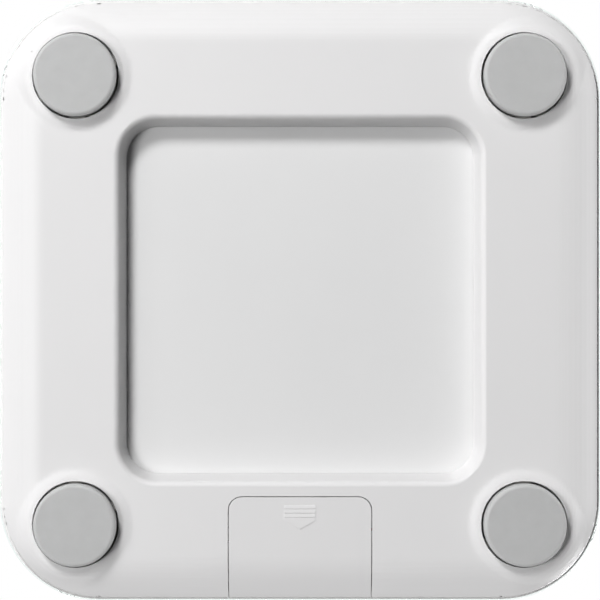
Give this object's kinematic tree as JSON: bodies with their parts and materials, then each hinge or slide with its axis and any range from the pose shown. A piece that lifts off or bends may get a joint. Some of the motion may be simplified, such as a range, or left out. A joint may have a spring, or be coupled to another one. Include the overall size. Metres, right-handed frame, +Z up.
{
  "type": "digital bathroom scale",
  "caption": "Square digital bathroom scale with rounded corners: glass platform on a white moulded ring with corner feet on load cells, a sliding battery door and a display under the glass.",
  "frame": {"origin": "on the floor under the middle of the scale, level with the rubber feet's contact faces", "axes": "+Z up through the platform, +Y towards the display, -Y towards the battery door, +X to the right of a person who reads the display"},
  "size_m": [0.3, 0.3, 0.0265],
  "materials": {
    "platform_glass": "polished",
    "white_enamel": "smooth fired enamel",
    "smoked_window": "smoked, glossy",
    "white_abs": "fine moulded texture",
    "natural_abs": "as moulded",
    "foam_tape": "closed-cell foam",
    "cell_jacket": "printed steel can",
    "nickel_plate": "nickel plated",
    "spring_steel": "nickel plated",
    "grey_button": "satin",
    "black_plastic": "satin",
    "board_green": "solder mask",
    "gauge_resin": "silicone potting",
    "screw_steel": "zinc plated",
    "lcd_glass": "polished",
    "light_guide": "frosted",
    "zebra_rubber": "layered silicone",
    "black_epoxy": "cast dome",
    "component_tan": "ceramic",
    "lead_grey": "vinyl sleeve",
    "lead_red": "vinyl sleeve",
    "lead_black": "vinyl sleeve",
    "cell_steel": "stamped and plated",
    "foot_rubber": "soft matte"
  },
  "bodies": {
    "scale": {"glass_platform": "platform_glass", "glass_enamel": "white_enamel", "display_window": "smoked_window", "lower_housing": "white_abs", "battery_holder": "white_abs", "outer_tape": "foam_tape", "inner_tape": "foam_tape", "battery_cell_1": "cell_jacket", "battery_cell_2": "cell_jacket", "battery_cell_3": "cell_jacket", "contact_left_single": "nickel_plate", "contact_left_double": "nickel_plate", "contact_right_double": "nickel_plate", "contact_right_single": "nickel_plate", "contact_springs": "spring_steel", "tact_switch": "black_plastic", "switch_board": "board_green", "main_board": "board_green", "strain_gauges": "gauge_resin", "carrier_screws": "screw_steel", "holder_screws": "screw_steel", "board_screws": "screw_steel", "lcd_cell": "lcd_glass", "light_plate": "light_guide", "lcd_holder": "natural_abs", "zebra_strips": "zebra_rubber", "controller_chip": "black_epoxy", "board_components": "component_tan", "sensor_lead_front_left": "lead_grey", "sensor_lead_front_right": "lead_grey", "sensor_lead_rear_left": "lead_grey", "sensor_lead_rear_right": "lead_grey", "battery_lead_red": "lead_red", "battery_lead_black": "lead_black", "switch_lead": "lead_grey", "foot_pad_front_left": "foot_rubber", "foot_core_front_left": "black_plastic", "load_cell_front_left": "cell_steel", "load_cell_carrier_front_left": "natural_abs", "foot_pad_front_right": "foot_rubber", "foot_core_front_right": "black_plastic", "load_cell_front_right": "cell_steel", "load_cell_carrier_front_right": "natural_abs", "foot_pad_rear_left": "foot_rubber", "foot_core_rear_left": "black_plastic", "load_cell_rear_left": "cell_steel", "load_cell_carrier_rear_left": "natural_abs", "foot_pad_rear_right": "foot_rubber", "foot_core_rear_right": "black_plastic", "load_cell_rear_right": "cell_steel", "load_cell_carrier_rear_right": "natural_abs"},
    "battery_door": {"battery_door": "white_abs"},
    "unit_button": {"unit_button": "grey_button", "switch_plunger": "black_plastic"}
  },
  "joints": [
    {"name": "battery_door_slide", "type": "slide", "parent": "scale", "child": "battery_door", "axis": [0, -1, 0], "range_m": [0, 0.055]},
    {"name": "unit_button_press", "type": "slide", "parent": "scale", "child": "unit_button", "axis": [0, 0, 1], "range_m": [0, 0.0006], "stiffness_N_per_m": 1500}
  ]
}
